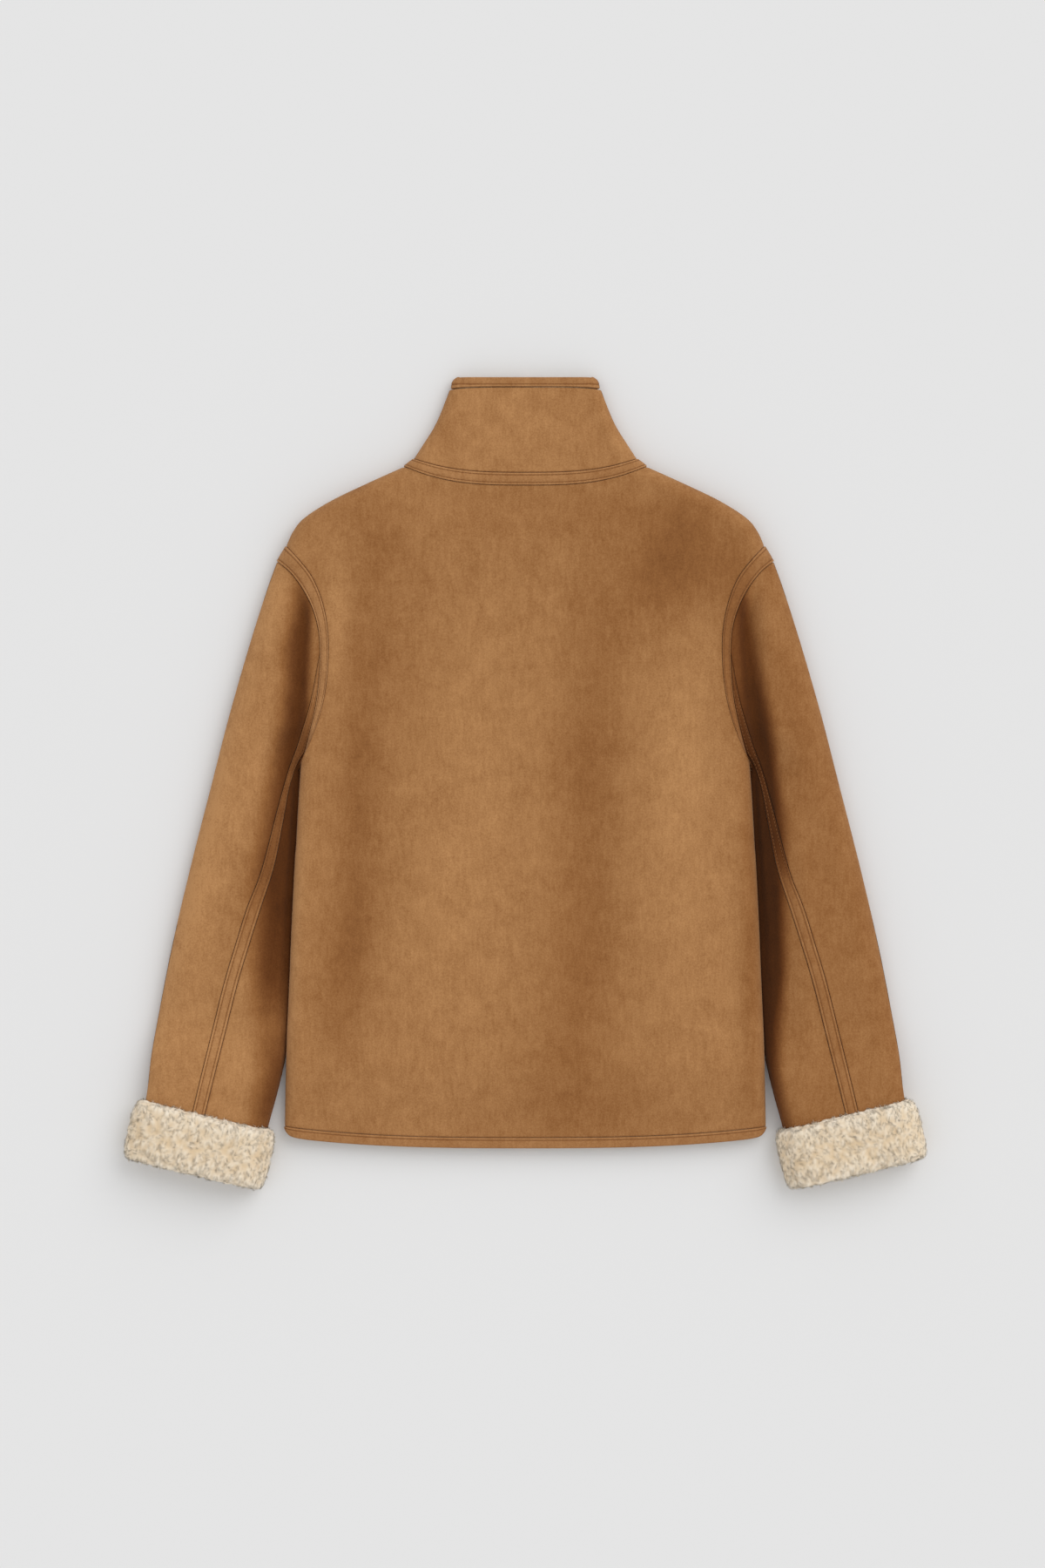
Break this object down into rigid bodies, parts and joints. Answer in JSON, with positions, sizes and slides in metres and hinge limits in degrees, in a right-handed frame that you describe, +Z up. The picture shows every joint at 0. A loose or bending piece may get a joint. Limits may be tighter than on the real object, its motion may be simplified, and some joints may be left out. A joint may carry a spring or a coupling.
{
  "type": "suede jacket laid flat",
  "caption": "Short tan suede jacket with a funnel collar, taped seams and turned-back pile cuffs, closed and laid flat on its front.",
  "frame": {"origin": "on the surface the jacket lies on, under the middle of its outline", "axes": "+X towards the jacket's right sleeve, +Y towards the collar, +Z up from the surface, out of the jacket's back"},
  "size_m": [0.7744, 0.783, 0.042],
  "materials": {
    "suede": "brushed suede nap, matt",
    "suede_band": "suede tape, topstitched along both edges, matt",
    "pile": "curly cream pile, soft and matt"
  },
  "bodies": {
    "root": {"back": "suede", "hem_band_back": "suede_band", "front_right": "suede", "hem_band_front_right": "suede_band", "front_left": "suede", "hem_band_front_left": "suede_band", "top_sleeve_right": "suede", "under_sleeve_right": "suede", "sleeve_band_right": "suede_band", "top_sleeve_left": "suede", "under_sleeve_left": "suede", "sleeve_band_left": "suede_band", "armhole_band_right": "suede_band", "armhole_band_left": "suede_band", "collar_base_band": "suede_band", "collar": "suede", "collar_top_band": "suede_band", "cuff_right": "pile", "cuff_left": "pile"}
  },
  "joints": []
}
